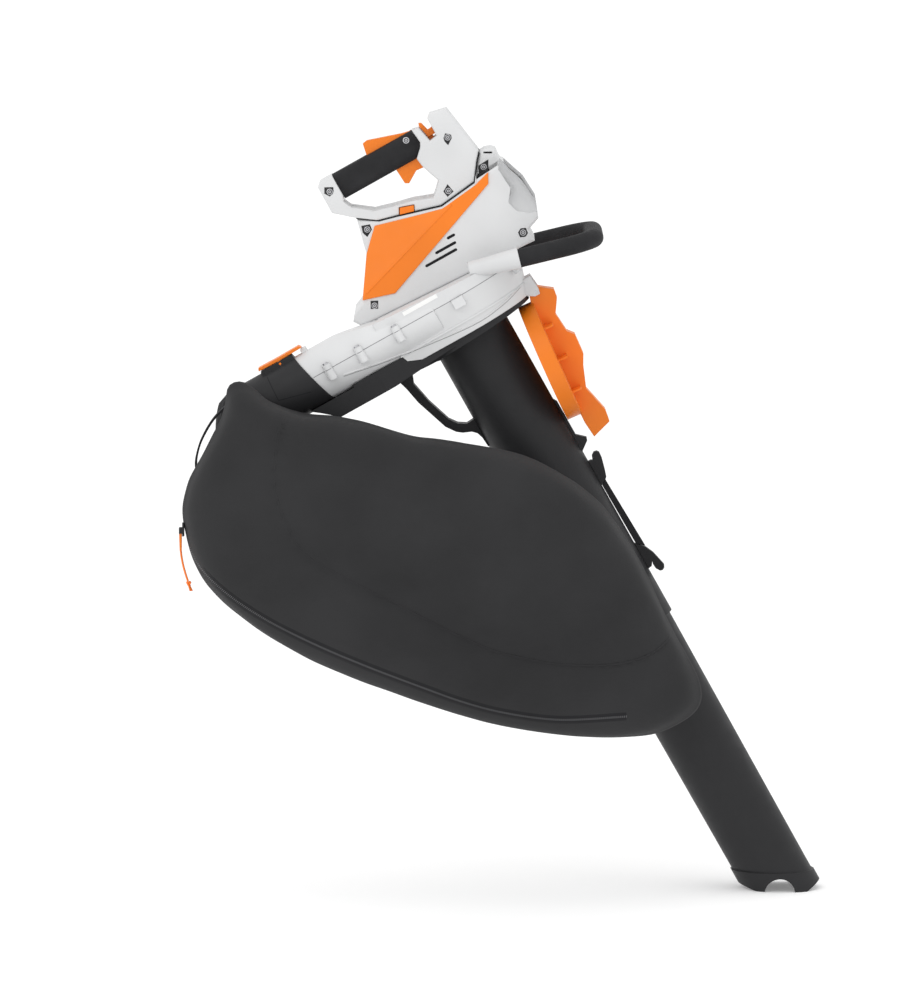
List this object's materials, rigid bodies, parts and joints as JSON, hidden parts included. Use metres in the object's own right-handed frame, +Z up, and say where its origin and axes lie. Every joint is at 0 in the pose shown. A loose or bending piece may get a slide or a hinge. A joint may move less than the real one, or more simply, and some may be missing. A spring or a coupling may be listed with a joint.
{
  "type": "leaf vacuum mulcher",
  "caption": "Cordless hand-held leaf vacuum: motor unit with two handles on a straight suction tube, mulching fan, side outlet and a fabric collecting bag.",
  "frame": {"origin": "centre of the suction mouth, level with the ground it touches", "axes": "+Z up, +X away from the bag in the plane of the tube, -Y towards the side with the fan outlet and the bag; the tube leans back 29.3 degrees"},
  "size_m": [0.9262, 0.3565, 1.1371],
  "materials": {
    "orange_plastic": "satin",
    "light_plastic": "matte",
    "black_plastic": "matte, fine grain",
    "soft_black": "matte",
    "bag_fabric": "woven",
    "cord": "woven",
    "steel": "satin",
    "copper": "satin"
  },
  "bodies": {
    "machine": {"bag": "bag_fabric", "bag_collar": "black_plastic", "battery_bay": "black_plastic", "battery_contacts": "copper", "bow_clamps": "light_plastic", "bow_sleeve": "soft_black", "bow_tube": "steel", "button_spring": "steel", "control_board": "black_plastic", "control_pins": "steel", "fan_lower": "light_plastic", "fan_screws": "steel", "fan_upper": "light_plastic", "flap_pin": "steel", "grab_strap": "bag_fabric", "grip": "soft_black", "handle_far": "light_plastic", "handle_near": "light_plastic", "handle_screws": "steel", "housing_far": "light_plastic", "housing_near": "light_plastic", "housing_screws": "steel", "latch_pin": "orange_plastic", "latch_spring": "steel", "lever_spring": "steel", "motor_bearings": "steel", "motor_can": "steel", "motor_leads": "copper", "motor_mount": "black_plastic", "motor_stator": "steel", "outlet_adapter": "black_plastic", "panel_far": "orange_plastic", "panel_near": "orange_plastic", "power_switch": "black_plastic", "seam_gasket": "soft_black", "slider_spring": "steel", "strap_hooks": "black_plastic", "tie_strap": "soft_black", "trigger_spring": "steel", "tube_flange": "black_plastic", "tube_lower": "black_plastic", "tube_seal": "soft_black", "tube_upper": "black_plastic", "zip_slider": "steel"},
    "trigger": {"trigger": "orange_plastic"},
    "grip_lever": {"grip_lever": "orange_plastic"},
    "lock_slider": {"lock_slider": "orange_plastic"},
    "side_button": {"side_button": "orange_plastic"},
    "outlet_latch": {"outlet_latch": "orange_plastic"},
    "intake_flap": {"intake_flap": "orange_plastic"},
    "rotor": {"motor_shaft": "steel", "motor_rotor": "steel", "impeller": "black_plastic", "shredder_blade": "steel", "blade_nut": "steel"},
    "zip_pull": {"zip_pull": "orange_plastic", "pull_cord": "cord", "pull_knot": "cord"}
  },
  "joints": [
    {"name": "trigger_pull", "type": "hinge", "parent": "machine", "child": "trigger", "pos_m": [-0.52187, 0, 1.06483], "axis": [0, 1, 0], "range_deg": [0, 11], "stiffness_Nm_per_rad": 0.6, "springref_deg": -8.59, "deforming": ["trigger_spring"]},
    {"name": "lever_squeeze", "type": "hinge", "parent": "machine", "child": "grip_lever", "pos_m": [-0.53938, 0, 1.09399], "axis": [0, -1, 0], "range_deg": [0, 12], "stiffness_Nm_per_rad": 0.6, "springref_deg": -8.59, "deforming": ["lever_spring"]},
    {"name": "lock_slide", "type": "slide", "parent": "machine", "child": "lock_slider", "axis": [0.8721, 0, 0.4894], "range_m": [0, 0.006], "stiffness_N_per_m": 300, "springref_m": -0.004, "deforming": ["slider_spring"]},
    {"name": "button_press", "type": "slide", "parent": "machine", "child": "side_button", "axis": [0, 1, 0], "range_m": [0, 0.0025], "stiffness_N_per_m": 300, "springref_m": -0.004, "deforming": ["button_spring"]},
    {"name": "latch_lift", "type": "hinge", "parent": "machine", "child": "outlet_latch", "pos_m": [-0.72878, -0.082, 0.77557], "axis": [0, -1, 0], "range_deg": [0, 5], "stiffness_Nm_per_rad": 0.4, "springref_deg": -8.59, "deforming": ["latch_spring"]},
    {"name": "flap_swing", "type": "hinge", "parent": "machine", "child": "intake_flap", "pos_m": [-0.36137, 0, 0.87281], "axis": [0, -1, 0], "range_deg": [0, 70]},
    {"name": "rotor_spin", "type": "hinge", "parent": "machine", "child": "rotor", "pos_m": [0, 0, 0], "axis": [-0.4894, 0, 0.8721], "continuous": true},
    {"name": "zip_pull_swing", "type": "hinge", "parent": "machine", "child": "zip_pull", "pos_m": [-0.8705, -0.15, 0.541], "axis": [0, 1, 0], "range_deg": [0, 80]}
  ]
}
